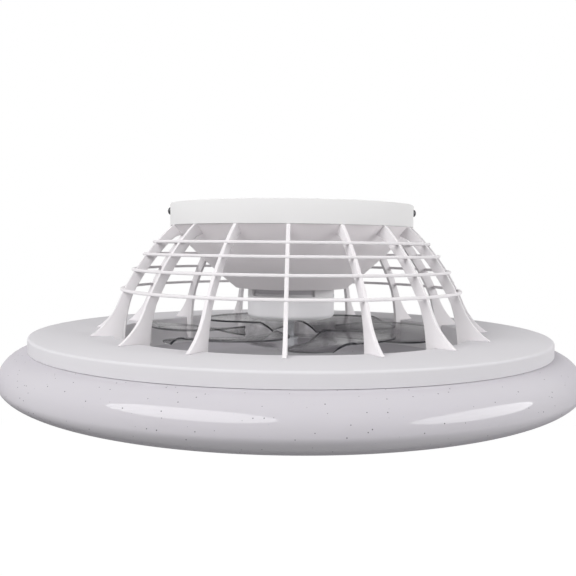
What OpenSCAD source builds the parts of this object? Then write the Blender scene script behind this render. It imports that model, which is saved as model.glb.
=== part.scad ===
// Flush ceiling fan light: a caged motor and clear impeller above a ring lamp.
// Millimetres. The origin is the centre of the ceiling face, +Z is up, the fan hangs below.

/* [Ceiling bracket] */
// Thickness of the bent steel bracket
bracket_t = 2; // [1.5:0.25:3]
// Width of the bracket bar
bracket_w = 36; // [30:1:44]
// Length of the bent ears at its ends
ear_h = 14; // [12:0.5:17]
// Distance between the two ceiling slots
slot_pitch = 88; // [76:1:100]
// Width of a ceiling slot
slot_w = 5; // [4.5:0.25:6]
// Length of a ceiling slot, end to end
slot_l = 11; // [8:0.5:14]
// Diameter of the hole for the supply wires
supply_hole_d = 18; // [14:1:22]

/* [Canopy] */
// Outer diameter of the canopy
canopy_d = 260; // [248:2:268]
// Height of the canopy
canopy_h = 23.3; // [22:0.1:26]
// Sheet thickness of the canopy
canopy_t = 1.6; // [1.2:0.1:2]
// Radius of its rounded upper edge
canopy_edge_r = 2; // [1:0.25:3]
// Depth of the side screws below the ceiling
side_screw_drop = 7; // [6:0.25:9]

/* [Cone] */
// Height of the cone under the canopy
cone_h = 65.1; // [62:0.1:68]
// Diameter of the cone's flat floor
cone_floor_d = 120; // [116:1:126]
// Wall thickness of the cone
cone_t = 2.4; // [2:0.1:3]
// How far the cone's side bulges from a straight line
cone_bulge = 1.9; // [1:0.1:3]

/* [Cage] */
// Number of upright fins
fin_count = 16; // [12:1:18]
// Thickness of a fin
fin_t = 3.6; // [3:0.1:4.5]
// Width of a fin across its curved stretch
fin_w = 10; // [8:0.25:12]
// How far the fins bulge from a straight line
fin_bulge = 5.2; // [4:0.1:6.5]
// Height of the flared foot above the lamp tray
flare_h = 31; // [26:0.5:36]
// How far the foot reaches out over the tray, from the duct's edge
foot_reach = 22; // [16:0.5:28]
// Length of the leg that hangs into the duct
leg_h = 26; // [20:0.5:28]
// Turn of the fins about the fan's axis
fin_turn = -1.33; // [-11:0.01:11]
// Number of hoops round the cage
hoop_count = 4; // [3:1:4]
// Distance from the canopy to the first hoop
hoop_first = 17.1; // [14:0.1:19]
// Distance from the first hoop to the second
hoop_pitch = 12.8; // [11:0.1:14]
// Growth of each distance to the next hoop
hoop_growth = 1.26; // [1.15:0.01:1.3]
// Height of a hoop
hoop_h = 3; // [2.4:0.1:3.6]
// Width of a hoop from its inside to its outside
hoop_w = 4; // [3.2:0.1:5]
// How far a hoop stands proud of the fins
hoop_proud = 1.2; // [0.6:0.1:1.8]

/* [Lamp] */
// Drop of the lamp tray's top below the ceiling
tray_drop = 135.1; // [132:0.1:140]
// Outer diameter of the lamp tray
tray_d = 544; // [536:2:560]
// Height of the tray's outer rim
tray_rim_h = 13.7; // [12:0.1:16]
// Wall thickness of the tray
tray_t = 2; // [1.6:0.1:2.4]
// Radius of the tray's rounded upper edge
tray_edge_r = 2; // [1:0.1:3]
// Diameter of the air duct through the lamp
duct_d = 382; // [376:2:390]
// Height of the duct wall below the tray's top
duct_h = 32; // [29:0.5:36]
// Outer diameter of the ring diffuser
shade_d = 600; // [590:2:616]
// Depth of the diffuser below the tray's rim
shade_h = 52.3; // [48:0.1:58]
// Depth of its widest line below the tray's rim
shade_wide_drop = 29; // [25:0.5:33]
// Gap between the tray's rim and the diffuser's neck
neck_gap = 4.5; // [3.5:0.25:6]
// Wall thickness of the diffuser
shade_t = 2.5; // [2:0.1:3]
// Number of spring clips that hold the diffuser
clip_count = 6; // [4:1:8]
// Number of light chips in each of the two rows
chip_count = 36; // [24:6:48]
// Width of the circuit board ring
board_w = 34; // [30:1:38]

/* [Motor] */
// Outer diameter of the motor cover
motor_d = 93.6; // [92:0.2:98]
// Height of the motor from the cone's floor to the cover's bottom
motor_h = 32.1; // [31:0.1:35]
// Height of the collar between the cone and the cover
collar_h = 10; // [8:0.5:11]
// Angle that one of the collar's posts covers
post_angle = 88; // [70:1:100]
// Wall thickness of the cover
cover_t = 2; // [1.6:0.1:2.4]
// Radius of the cover's lower edge
cover_edge_r = 5; // [3:0.25:6]
// Diameter of the motor shaft
shaft_d = 8; // [7:0.5:8]
// Outer diameter of the ball bearings
bearing_d = 22; // [21:0.5:23]
// Width of the ball bearings
bearing_w = 7; // [6:0.5:7.5]
// Number of stator teeth
tooth_count = 9; // [6:3:12]
// Height of the stator stack
stack_h = 12; // [10:0.5:13]
// Outer diameter of the stator
stator_d = 68; // [64:1:70]
// Air gap between stator and magnets
air_gap = 0.8; // [0.5:0.1:1]

/* [Impeller] */
// Number of blades
blade_count = 6; // [4:1:7]
// Diameter over the blade tips
impeller_d = 316; // [300:2:330]
// Diameter of the hub
hub_d = 102; // [98:1:108]
// Height of the hub
hub_h = 26; // [22:0.5:28]
// Gap between the motor cover and the hub
hub_gap = 1.8; // [1.2:0.1:3]
// Thickness of a blade
blade_t = 2.2; // [1.8:0.1:2.8]
// Angle that one blade covers, seen from below
blade_span = 58; // [40:1:59]
// Rise of a blade from its trailing to its leading edge
blade_rise = 11; // [8:0.5:16]
// Height of the arched section of a blade
blade_camber = 3; // [1:0.5:6]
// Depth of the leading edges below the hub's top
blade_drop = 7.5; // [4:0.5:8]
// Angle by which a blade's tip trails behind its root
blade_sweep = 16; // [0:1:24]
// Turn of the blades about the fan's axis
blade_turn = 4; // [-30:1:30]

/* [Fits] */
// Clearance between pieces that seat on each other
seat_gap = 0.1; // [0.05:0.01:0.2]
// Clearance between the cage's legs and the duct wall
leg_gap = 0.3; // [0.2:0.05:0.5]
// Radial clearance of a running fit
run_gap = 0.05; // [0.03:0.01:0.08]

/* [Hidden] */
$fn = 96;

eps = 0.5;                       // how far a cutter reaches past the face it opens
white_paint = [0.92, 0.92, 0.92];
steel = [0.72, 0.73, 0.75];
dark_steel = [0.3, 0.3, 0.32];

// Screw sizes: shank radius, head radius, head height
m2 = [0.95, 1.8, 1.2];
m3 = [1.45, 2.8, 1.9];
m4 = [1.95, 4.0, 2.4];
screw_slack = 0.05;              // between a shank and the hole that it is driven into

// Levels below the ceiling
cone_floor = canopy_h + cone_h;
cover_floor = cone_floor + motor_h;
hub_top = cover_floor + hub_gap;
hub_floor = hub_top + hub_h;
rim_bottom = tray_drop + tray_rim_h;
shade_wide = rim_bottom + shade_wide_drop;
shade_bottom = rim_bottom + shade_h;
duct_bottom = tray_drop + duct_h;

// Radii
canopy_r = canopy_d / 2;
tray_r = tray_d / 2;
duct_r = duct_d / 2;
shade_r = shade_d / 2;
motor_r = motor_d / 2;
cone_floor_r = cone_floor_d / 2;
shaft_r = shaft_d / 2;
bearing_r = bearing_d / 2;
hub_r = hub_d / 2;

// ---------- helpers ----------

// Points of a circular arc from a to b; sag is its height, positive to the left of the way
function unit(v) = v / norm(v);
function left_of(a, b) = [-(b - a)[1], (b - a)[0]] / norm(b - a);
function arc_radius(a, b, sag) = (pow(norm(b - a) / 2, 2) + sag * sag) / (2 * abs(sag));
function arc_centre(a, b, sag) =
    (a + b) / 2 - left_of(a, b) * sign(sag) * (arc_radius(a, b, sag) - abs(sag));
function arc_points(a, b, sag, steps = 8) =
    let (radius = arc_radius(a, b, sag), centre = arc_centre(a, b, sag),
         half = asin(norm(b - a) / 2 / radius), side = left_of(a, b) * sign(sag),
         along = unit(b - a))
    [for (i = [0 : steps])
        let (t = half * (2 * i / steps - 1))
        centre + radius * (side * cos(t) + along * sin(t))];

// A ring between two radii and two levels below the ceiling
module ring(r_out, r_in, top, bottom) {
    translate([0, 0, -bottom])
        difference() {
            cylinder(r = r_out, h = bottom - top);
            translate([0, 0, -eps]) cylinder(r = r_in, h = bottom - top + 2 * eps);
        }
}

// A hole down from a level below the ceiling
module drill(r, top, bottom) {
    translate([0, 0, -bottom]) cylinder(r = r, h = bottom - top);
}

// Copies round the axis
module around(count, turn = 0) {
    for (i = [0 : count - 1]) rotate([0, 0, turn + i * 360 / count]) children();
}

// A cross-head screw with a domed head; the head's seat is at the origin, the shank points down
module screw(size, shank) {
    head_r = size[1];
    head_h = size[2];
    dome_r = (head_r * head_r + head_h * head_h) / (2 * head_h);
    difference() {
        union() {
            intersection() {
                translate([0, 0, head_h - dome_r]) sphere(r = dome_r, $fn = 32);
                cylinder(r = head_r, h = head_h + eps, $fn = 32);
            }
            translate([0, 0, -shank]) cylinder(r = size[0], h = shank + eps, $fn = 24);
        }
        for (a = [0, 90])
            rotate([0, 0, a])
                translate([-head_r * 0.55, -head_r * 0.1, head_h * 0.45])
                    cube([head_r * 1.1, head_r * 0.2, head_h]);
    }
}

// ---------- ceiling bracket and canopy ----------

ear_x = sqrt(pow(canopy_r - canopy_t - 2 * seat_gap, 2) - pow(bracket_w / 2, 2));
ground_x = slot_pitch / 2 + slot_l / 2 + 12;

module ceiling_slot(x) {
    straight = slot_l - slot_w;
    translate([x, 0, -bracket_t - eps]) {
        for (s = [-1, 1])
            translate([s * straight / 2, 0, 0])
                cylinder(r = slot_w / 2, h = bracket_t + 2 * eps);
        translate([-straight / 2, -slot_w / 2, 0])
            cube([straight, slot_w, bracket_t + 2 * eps]);
    }
}

module mounting_bracket() {
    color(steel)
        difference() {
            union() {
                translate([-ear_x, -bracket_w / 2, -bracket_t])
                    cube([2 * ear_x, bracket_w, bracket_t]);
                for (s = [-1, 1])
                    translate([s * (ear_x - bracket_t / 2) - bracket_t / 2, -bracket_w / 2, -ear_h])
                        cube([bracket_t, bracket_w, ear_h]);
            }
            for (s = [-1, 1]) {
                ceiling_slot(s * slot_pitch / 2);
                translate([s * (ear_x - bracket_t / 2), 0, -side_screw_drop])
                    rotate([0, 90, 0])
                        cylinder(r = m4[0] + screw_slack, h = 2 * bracket_t, center = true);
            }
            drill(supply_hole_d / 2, -eps, bracket_t + eps);
            translate([ground_x, 0, 0]) drill(m4[0] + screw_slack, -eps, bracket_t + eps);
        }
}

module ground_screw() {
    color("gold")
        translate([ground_x, 0, -bracket_t]) mirror([0, 0, 1]) screw(m4, bracket_t);
}

flange_w = 22;                   // width of the cone's flange under the canopy
flange_t = 2.5;
cone_top_r = canopy_r - 1;
flange_screw_r = cone_top_r - flange_w / 2 - 4;
grommet_r = 14;

module canopy() {
    inner_r = canopy_r - canopy_t;
    color(white_paint)
        difference() {
            rotate_extrude()
                difference() {
                    union() {
                        translate([0, -canopy_h]) square([canopy_r, canopy_h - canopy_edge_r]);
                        square_top_r = canopy_r - canopy_edge_r;
                        translate([0, -canopy_edge_r]) square([square_top_r, canopy_edge_r]);
                        intersection() {
                            translate([square_top_r, -canopy_edge_r]) circle(r = canopy_edge_r, $fn = 32);
                            translate([square_top_r, -canopy_edge_r])
                                square([canopy_edge_r, canopy_edge_r]);
                        }
                    }
                    translate([-eps, -canopy_h + canopy_t]) square([inner_r + eps, canopy_h]);
                }
            drill(grommet_r - 2, canopy_h - canopy_t - eps, canopy_h + eps);
            for (s = [0, 180])
                rotate([0, 0, s])
                    translate([inner_r - eps, 0, -side_screw_drop])
                        rotate([0, 90, 0]) cylinder(r = m4[0] + seat_gap, h = canopy_t + 2 * eps);
            around(4, 45)
                translate([flange_screw_r, 0, 0])
                    drill(m4[0] + seat_gap, canopy_h - canopy_t - eps, canopy_h + eps);
            for (s = [-1, 1])
                translate([s * driver_screw_x, driver_y, 0])
                    drill(m3[0] + screw_slack, canopy_h - canopy_t - eps, canopy_h + eps);
        }
}

module canopy_screws() {
    shank = canopy_r - ear_x + bracket_t + 1;
    color(dark_steel)
        for (s = [0, 180])
            rotate([0, 0, s])
                translate([canopy_r, 0, -side_screw_drop]) rotate([0, 90, 0]) screw(m4, shank);
}

module wire_grommet() {
    groove_r = grommet_r - 2 - seat_gap;
    bead = 1.5;
    mid = canopy_h - canopy_t / 2;
    color([0.2, 0.2, 0.2])
        difference() {
            union() {
                ring(grommet_r, groove_r - 2, mid - canopy_t / 2 - bead, mid - canopy_t / 2);
                ring(groove_r, groove_r - 2, mid - canopy_t / 2 - bead / 2, mid + canopy_t / 2 + bead / 2);
                ring(grommet_r, groove_r - 2, mid + canopy_t / 2, mid + canopy_t / 2 + bead);
            }
            drill(groove_r - 2, canopy_h - 10, canopy_h + 10);
        }
}

// ---------- controller in the canopy ----------

driver_l = 112;
driver_w = 38;
driver_h = 14;
driver_y = 62;
driver_wall = 1.5;
driver_tab = 10;
driver_screw_x = driver_l / 2 + driver_tab / 2;
driver_floor = canopy_h - canopy_t;

module driver_box() {
    color([0.85, 0.85, 0.82])
        translate([0, driver_y, -driver_floor])
            difference() {
                union() {
                    translate([-driver_l / 2, -driver_w / 2, 0]) cube([driver_l, driver_w, driver_h]);
                    translate([-driver_l / 2 - driver_tab, -driver_tab / 2, 0])
                        cube([driver_l + 2 * driver_tab, driver_tab, driver_wall]);
                }
                translate([-driver_l / 2 + driver_wall, -driver_w / 2 + driver_wall, driver_wall])
                    cube([driver_l - 2 * driver_wall, driver_w - 2 * driver_wall, driver_h]);
                for (s = [-1, 1]) {
                    translate([s * driver_screw_x, 0, -eps])
                        cylinder(r = m3[0] + seat_gap, h = driver_wall + 2 * eps, $fn = 24);
                    translate([s * driver_l / 2, 0, driver_h / 2])
                        cube([4 * driver_wall, 9, 5], center = true);
                }
            }
}

module driver_lid() {
    lid_t = 1.5;
    plug = 2;
    fit = driver_wall + seat_gap;
    color([0.8, 0.8, 0.77])
        translate([0, driver_y, -driver_floor + driver_h]) {
            translate([-driver_l / 2, -driver_w / 2, 0]) cube([driver_l, driver_w, lid_t]);
            translate([-driver_l / 2 + fit, -driver_w / 2 + fit, -plug])
                cube([driver_l - 2 * fit, driver_w - 2 * fit, plug + eps]);
        }
}

module driver_screws() {
    color(steel)
        for (s = [-1, 1])
            translate([s * driver_screw_x, driver_y, -driver_floor + driver_wall])
                screw(m3, driver_wall + canopy_t);
}

module terminal_block() {
    ways = 3;
    pitch = 11;
    body_w = 18;
    body_h = 12;
    color([0.93, 0.93, 0.9])
        translate([0, -driver_y, -driver_floor])
            difference() {
                union() {
                    translate([-ways * pitch / 2, -body_w / 2, 0]) cube([ways * pitch, body_w, body_h * 0.6]);
                    for (i = [0 : ways - 1])
                        translate([(i - (ways - 1) / 2) * pitch, 0, 0])
                            cylinder(r = pitch * 0.42, h = body_h, $fn = 32);
                }
                for (i = [0 : ways - 1])
                    translate([(i - (ways - 1) / 2) * pitch, 0, 0]) {
                        translate([0, 0, body_h * 0.55]) cylinder(r = pitch * 0.26, h = body_h, $fn = 24);
                        rotate([90, 0, 0])
                            translate([0, body_h * 0.3, -body_w])
                                cylinder(r = pitch * 0.2, h = 2 * body_w, $fn = 24);
                    }
            }
}

// ---------- cone ----------

cone_a = [cone_top_r, -canopy_h];
cone_b = [cone_floor_r + 1.5, -cone_floor + 1.2];
cone_side = arc_points(cone_a, cone_b, cone_bulge, 10);
cone_wall_shift = cone_t * left_of(cone_b, cone_a);

motor_screw_r = 30;
shaft_hole_r = 15;

module cone_outline() {
    polygon(concat([[0, -canopy_h]], cone_side,
        [[cone_floor_r, -cone_floor], [0, -cone_floor]]));
}

module cone_inside() {
    inner_side = [for (p = cone_side) p + cone_wall_shift];
    floor_z = -cone_floor + cone_t;
    polygon(concat([[-eps, -canopy_h + eps]],
        [[inner_side[0][0] + eps, -canopy_h + eps]],
        [for (p = inner_side) if (p[1] > floor_z) p],
        [[cone_floor_r - cone_t * 0.6, floor_z], [-eps, floor_z]]));
}

module cage_cone() {
    color(white_paint)
        difference() {
            rotate_extrude()
                difference() {
                    cone_outline();
                    difference() {
                        cone_inside();
                        translate([cone_top_r - flange_w, -canopy_h - flange_t])
                            square([flange_w, flange_t + 1]);
                    }
                }
            drill(shaft_hole_r, cone_floor - cone_t - eps, cone_floor + eps);
            around(4, 45)
                translate([flange_screw_r, 0, 0])
                    drill(m4[0] + screw_slack, canopy_h - eps, canopy_h + flange_t + eps);
            around(4)
                translate([motor_screw_r, 0, 0])
                    drill(m4[0] + seat_gap, cone_floor - cone_t - eps, cone_floor + eps);
        }
}

module cone_screws() {
    color(steel)
        around(4, 45)
            translate([flange_screw_r, 0, -canopy_h + canopy_t]) screw(m4, canopy_t + flange_t);
}

// ---------- cage ----------

leg_w = 9.3;
leg_r = duct_r - leg_gap;
cage_r = leg_r - leg_w;
fin_top = [canopy_r + 0.4, -canopy_h];
flare_top = [duct_r - 4, -(tray_drop - flare_h)];
fin_tip = [duct_r + foot_reach, -tray_drop + 0.8];
flare_sag = -3;
edge_centre = arc_centre(fin_top, flare_top, fin_bulge);
edge_r = arc_radius(fin_top, flare_top, fin_bulge);

// Radius of the fins' outer and inner edges at a level, over their curved stretch
function edge_at(z, inset = 0) =
    edge_centre[0] + sqrt(pow(edge_r - inset, 2) - pow(z - edge_centre[1], 2));

// Level of a hoop: the distances between hoops grow by a constant factor
function hoop_z(i) =
    -(canopy_h + hoop_first + hoop_pitch * (pow(hoop_growth, i) - 1) / (hoop_growth - 1));
function hoop_r(i) = edge_at(hoop_z(i)) + hoop_proud;

web_top = -(canopy_h + 17);      // the curved inner edge runs between these levels
web_low = -(tray_drop - flare_h - 5);
function web_z(i, count) = web_top + i / count * (web_low - web_top);

module fin_outline() {
    leg_low = -(tray_drop + leg_h);
    inner_start = [cage_r, -(tray_drop + 5)];
    inner_end = [edge_at(web_low, fin_w), web_low];
    steps = 8;
    web = [for (i = [steps : -1 : 0]) [edge_at(web_z(i, steps), fin_w), web_z(i, steps)]];
    root = web[steps];
    root_in = [cone_top_r - 12, -(canopy_h + 9)];
    difference() {
        polygon(concat(
            arc_points(fin_top, flare_top, fin_bulge, 12),
            arc_points(flare_top, fin_tip, flare_sag, 8),
            [[fin_tip[0], -tray_drop], [leg_r, -tray_drop], [leg_r, leg_low + 5],
             [leg_r - 4, leg_low], [cage_r, leg_low]],
            arc_points(inner_start, inner_end, -1.6, 4), web,
            arc_points(root, root_in, -2, 4),
            [[root_in[0], -canopy_h]]));
        offset_cone();
        for (i = [0 : hoop_count - 1])
            translate([hoop_r(i) - hoop_w - seat_gap, hoop_z(i) - hoop_h / 2 - seat_gap])
                square([hoop_w + 2 * hoop_proud + 1, hoop_h + 2 * seat_gap]);
    }
}

// The cone's outline grown by the seat clearance
module offset_cone() {
    shift = -seat_gap * left_of(cone_b, cone_a);
    grown = [for (p = cone_side) p + shift];
    polygon(concat([[0, -canopy_h + eps], [grown[0][0], -canopy_h + eps]], grown,
        [[0, -cone_floor]]));
}

module fin(with_boss) {
    boss_r = 3.5;
    boss_l = leg_w - 1.5;
    boss_z = -(tray_drop + cage_screw_drop);
    difference() {
        union() {
            rotate([90, 0, 0])
                linear_extrude(height = fin_t, center = true) fin_outline();
            if (with_boss)
                translate([leg_r - boss_l, 0, boss_z])
                    rotate([0, 90, 0]) cylinder(r = boss_r, h = boss_l, $fn = 32);
        }
        if (with_boss)
            translate([leg_r - boss_l + 1, 0, boss_z])
                rotate([0, 90, 0]) cylinder(r = m3[0] + screw_slack, h = boss_l, $fn = 24);
    }
}

boss_every = 4;

module cage_fins() {
    color(white_paint)
        for (i = [0 : fin_count - 1])
            rotate([0, 0, fin_turn - 90 + i * 360 / fin_count]) fin(i % boss_every == 0);
}

module hoop(r) {
    corner = 0.8;
    rotate_extrude()
        translate([r - hoop_w, 0])
            polygon([[0, -hoop_h / 2], [hoop_w - corner, -hoop_h / 2], [hoop_w, -hoop_h / 2 + corner],
                [hoop_w, hoop_h / 2 - corner], [hoop_w - corner, hoop_h / 2], [0, hoop_h / 2]]);
}

module cage_hoops() {
    color(white_paint)
        for (i = [0 : hoop_count - 1]) translate([0, 0, hoop_z(i)]) hoop(hoop_r(i));
}

cage_screw_drop = 15;            // below the tray's top

module cage_screws() {
    color(steel)
        for (i = [0 : boss_every : fin_count - 1])
            rotate([0, 0, fin_turn - 90 + i * 360 / fin_count])
                translate([duct_r + tray_t, 0, -(tray_drop + cage_screw_drop)])
                    rotate([0, 90, 0]) screw(m3, tray_t + leg_gap + leg_w - 4);
}

// ---------- motor ----------

collar_floor = cone_floor + collar_h;
collar_t = 3;
base_t = 3;
base_floor = cone_floor + base_t;
base_r = motor_r - collar_t - leg_gap;
base_rim_t = 1.5;                // the base's rim closes the view through the collar's windows
tube_r = bearing_r + 2.5;
tube_floor = cover_floor - cover_t - 6.5;
bell_floor_t = 2;
bell_t = 2;
magnet_t = 4.2;
bell_r = stator_d / 2 + air_gap + magnet_t + bell_t;
bell_low = tube_floor + 3.5;
bell_top = base_floor + 2;
stack_top = base_floor + 2.6;
coil_over = 2;
race_gap = 0.1;
upper_seat = cone_floor + 1;
lower_seat = tube_floor - bearing_w;
ball_r = 1.9;
pitch_r = (bearing_r + shaft_r) / 2;

post_count = 2;
post_turn = -14.2;
collar_bar = 2;                  // height of the ring below the collar's windows
spigot_t = 1.6;
spigot_r = motor_r - collar_t - seat_gap;
spigot_h = 4.5;
cover_screw_drop = collar_floor - spigot_h / 2;

// Places of the screws that hold the cover, one in each post
module at_cover_screws() {
    around(post_count, post_turn)
        translate([motor_r, 0, -cover_screw_drop]) rotate([0, 90, 0]) children();
}

module motor_collar() {
    color([0.62, 0.62, 0.63])
        difference() {
            ring(motor_r, motor_r - collar_t, cone_floor, collar_floor);
            around(post_count, post_turn + post_angle / 2)
                rotate_extrude(angle = 360 / post_count - post_angle)
                    translate([motor_r - collar_t - eps, -collar_floor + collar_bar])
                        square([collar_t + 2 * eps, collar_h]);
            at_cover_screws()
                translate([0, 0, -collar_t - eps])
                    cylinder(r = m2[0] + seat_gap, h = collar_t + 2 * eps, $fn = 24);
        }
}

module motor_base() {
    color(steel)
        difference() {
            union() {
                ring(base_r, bearing_r - 2, cone_floor, base_floor);
                ring(base_r, base_r - base_rim_t, base_floor - eps,
                     collar_floor - spigot_h - leg_gap);
                ring(tube_r, bearing_r - 2, base_floor - eps, tube_floor);
            }
            drill(bearing_r, cone_floor - eps, upper_seat + bearing_w);
            drill(bearing_r, lower_seat, tube_floor + eps);
            around(4)
                translate([motor_screw_r, 0, 0])
                    drill(m4[0] + screw_slack, cone_floor - eps, base_floor + eps);
        }
}

module motor_screws() {
    color(steel)
        around(4)
            translate([motor_screw_r, 0, -cone_floor + cone_t]) screw(m4, cone_t + base_t);
}

module race_pair() {
    translate([0, 0, -upper_seat]) children();
    translate([0, 0, -lower_seat]) children();
}

module ball_groove() {
    translate([0, 0, -bearing_w / 2])
        rotate_extrude() translate([pitch_r, 0]) circle(r = ball_r + race_gap, $fn = 32);
}

module bearing_outer_races() {
    color(steel)
        race_pair()
            difference() {
                ring(bearing_r - screw_slack / 2, pitch_r + 1.2, 0, bearing_w);
                ball_groove();
            }
}

module bearing_inner_races() {
    color(steel)
        race_pair()
            difference() {
                ring(pitch_r - 1.2, shaft_r + screw_slack / 2, 0, bearing_w);
                ball_groove();
            }
}

module bearing_balls() {
    color("silver")
        race_pair()
            around(7)
                translate([pitch_r, 0, -bearing_w / 2]) sphere(r = ball_r, $fn = 32);
}

tooth_w = 6;
yoke_r = tube_r + 6;
shoe_t = 3;
tooth_end = stator_d / 2 - shoe_t;

module stator_core() {
    shoe_a = 360 / tooth_count * 0.8;
    color([0.5, 0.5, 0.52])
        difference() {
            union() {
                ring(yoke_r, tube_r - eps, stack_top, stack_top + stack_h);
                translate([0, 0, -(stack_top + stack_h)])
                    around(tooth_count) {
                        translate([yoke_r - 1, -tooth_w / 2, 0]) cube([tooth_end - yoke_r + 2, tooth_w, stack_h]);
                        rotate([0, 0, -shoe_a / 2])
                            rotate_extrude(angle = shoe_a)
                                translate([tooth_end, 0]) square([shoe_t, stack_h]);
                    }
            }
            drill(tube_r + screw_slack / 2, stack_top - eps, stack_top + stack_h + eps);
        }
}

module stator_coils() {
    coil_l = tooth_end - yoke_r - 2.5;
    coil_w = 3;
    color([0.72, 0.42, 0.2])
        translate([0, 0, -(stack_top + stack_h / 2)])
            around(tooth_count)
                translate([yoke_r + 1.2, 0, 0])
                    difference() {
                        translate([0, -tooth_w / 2 - coil_w, -stack_h / 2 - coil_over])
                            cube([coil_l, tooth_w + 2 * coil_w, stack_h + 2 * coil_over]);
                        translate([-eps, -tooth_w / 2 - seat_gap, -stack_h / 2 - seat_gap])
                            cube([coil_l + 2 * eps, tooth_w + 2 * seat_gap, stack_h + 2 * seat_gap]);
                    }
}

module rotor_bell() {
    color([0.6, 0.6, 0.62])
        difference() {
            union() {
                ring(bell_r, bell_r - bell_t, bell_top, bell_low);
                translate([0, 0, -bell_low]) cylinder(r = bell_r, h = bell_floor_t);
                translate([0, 0, -bell_low]) cylinder(r = shaft_r + 2.5, h = bell_floor_t + 1);
            }
            drill(shaft_r + screw_slack / 2, bell_low - 10, bell_low + eps);
            around(6, 30) translate([bell_r * 0.6, 0, 0]) drill(5, bell_low - 5, bell_low + eps);
        }
}

module magnet_ring() {
    color([0.25, 0.25, 0.27])
        ring(bell_r - bell_t - screw_slack / 2, stator_d / 2 + air_gap, stack_top - 0.5,
             stack_top + stack_h + 0.5);
}

boss_h = 20;                     // the hub's boss, then washer and nut, and the shaft's end below
washer_t = 1.6;
nut_h = 6.5;
shaft_over = 1.5;
shaft_top = upper_seat - shaft_over;
shaft_bottom = hub_top + boss_h + washer_t + nut_h + shaft_over;

module motor_shaft() {
    color("silver")
        difference() {
            translate([0, 0, -shaft_bottom]) cylinder(r = shaft_r, h = shaft_bottom - shaft_top);
            ring(shaft_r + eps, shaft_r - 0.6, upper_seat - 0.9, upper_seat - 0.05);
        }
}

module retaining_ring() {
    color(dark_steel)
        difference() {
            ring(shaft_r + 2, shaft_r - 0.55, upper_seat - 0.85, upper_seat - 0.05);
            translate([0, -shaft_r * 0.6, -upper_seat]) cube([shaft_r + 4, shaft_r * 1.2, 2]);
        }
}

module motor_cover() {
    hub_hole_r = 9;
    color(white_paint)
        difference() {
            union() {
                rotate_extrude()
                    difference() {
                        union() {
                            translate([0, -cover_floor + cover_edge_r])
                                square([motor_r, cover_floor - cover_edge_r - collar_floor]);
                            translate([0, -cover_floor]) square([motor_r - cover_edge_r, cover_edge_r]);
                            translate([motor_r - cover_edge_r, -cover_floor + cover_edge_r])
                                circle(r = cover_edge_r, $fn = 48);
                        }
                        translate([-motor_r, -cover_floor - eps]) square([motor_r, motor_h + cone_h]);
                        translate([-eps, -cover_floor + cover_t + cover_edge_r])
                            square([motor_r - cover_t + eps, motor_h]);
                        translate([-eps, -cover_floor + cover_t])
                            square([motor_r - cover_t - cover_edge_r + eps, cover_edge_r + eps]);
                        translate([motor_r - cover_t - cover_edge_r, -cover_floor + cover_t + cover_edge_r])
                            circle(r = cover_edge_r, $fn = 48);
                    }
                ring(motor_r - cover_t + eps, spigot_r - spigot_t, collar_floor, collar_floor + cover_t);
                ring(spigot_r, spigot_r - spigot_t, collar_floor - spigot_h, collar_floor + eps);
            }
            drill(hub_hole_r, cover_floor - cover_t - eps, cover_floor + eps);
            at_cover_screws()
                translate([0, 0, -collar_t - 2 * spigot_t])
                    cylinder(r = m2[0] + screw_slack, h = collar_t + spigot_t, $fn = 24);
        }
}

module cover_screws() {
    color(steel) at_cover_screws() screw(m2, collar_t + seat_gap + spigot_t);
}

// ---------- impeller ----------

skirt_t = 2;
boss_outer_r = 9;
sleeve_r = 7;
blade_root_r = hub_r - skirt_t / 2;
span_steps = 12;
chord_steps = 8;

// A blade is a grid of points: u runs from hub to tip, v from leading to trailing edge.
// Its plan is a petal, narrow at the hub and round at the tip; its section is arched.
function petal(u) = u < 0.5
    ? 0.34 + 0.66 * sin(180 * u)
    : sqrt(max(0.03, 1 - pow(2 * u - 1, 2.6)));
function span_share(i) = 1 - pow(1 - i / span_steps, 1.6);   // rows lie closer near the tip
function blade_angle(u, v) = (0.5 - v) * blade_span * petal(u) - blade_sweep * u * u;
function blade_r(u) = blade_root_r + u * (impeller_d / 2 - blade_root_r);
function blade_z(u, v) =
    -(hub_top + blade_drop) - blade_rise * v * (1 - 0.35 * u)
    + blade_camber * 4 * v * (1 - v) * (0.4 + 0.6 * u);
function blade_point(u, v, lift) =
    let (r = blade_r(u), a = blade_angle(u, v))
    [r * cos(a), r * sin(a), blade_z(u, v) + lift];

module blade() {
    row = chord_steps + 1;
    layer = (span_steps + 1) * row;
    points = [for (lift = [0, -blade_t], i = [0 : span_steps], j = [0 : chord_steps])
        blade_point(span_share(i), j / chord_steps, lift)];
    top = [for (i = [0 : span_steps - 1], j = [0 : chord_steps - 1])
        let (a = i * row + j) each [[a, a + row, a + row + 1], [a, a + row + 1, a + 1]]];
    bottom = [for (f = top) [f[0] + layer, f[2] + layer, f[1] + layer]];
    rim = concat(
        [for (j = [0 : chord_steps]) j],
        [for (i = [1 : span_steps]) i * row + chord_steps],
        [for (j = [chord_steps - 1 : -1 : 0]) span_steps * row + j],
        [for (i = [span_steps - 1 : -1 : 1]) i * row]);
    count = len(rim);
    wall = [for (k = [0 : count - 1])
        let (a = rim[k], b = rim[(k + 1) % count])
        each [[a, b, b + layer], [a, b + layer, a + layer]]];
    polyhedron(points = points, faces = concat(top, bottom, wall));
}

module impeller() {
    color([0.45, 0.45, 0.47, 0.5])
        difference() {
            union() {
                ring(hub_r, boss_outer_r, hub_top, hub_top + 3);
                ring(hub_r, hub_r - skirt_t, hub_top, hub_floor);
                ring(boss_outer_r + eps, shaft_r, hub_top, hub_top + boss_h);
                ring(sleeve_r, shaft_r, bell_low, hub_top + 1);
                around(blade_count, blade_turn) blade();
            }
            drill(shaft_r + run_gap, bell_low - 1, hub_floor);
        }
}

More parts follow.
